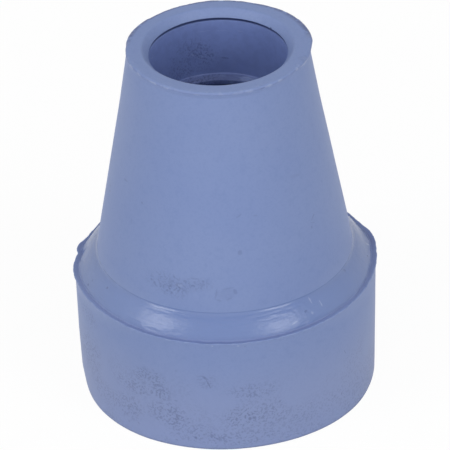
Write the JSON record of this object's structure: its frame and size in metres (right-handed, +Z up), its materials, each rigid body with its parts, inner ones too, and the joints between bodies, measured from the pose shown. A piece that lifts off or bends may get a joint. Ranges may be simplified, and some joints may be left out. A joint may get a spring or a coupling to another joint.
{
  "type": "rubber cane tip",
  "caption": "Moulded rubber tip with a tapered neck, a sloped shoulder and a wide round foot, pressed onto the bottom of a walking cane shaft.",
  "frame": {"origin": "centre of the sole, on the floor", "axes": "+Z up along the cane shaft and the socket, the tip is round about Z"},
  "size_m": [0.0427, 0.0426, 0.0527],
  "materials": {
    "grey_blue_rubber": "matte to satin moulded natural rubber, grey blue all through"
  },
  "bodies": {
    "root": {"rubber_tip": "grey_blue_rubber"}
  },
  "joints": []
}
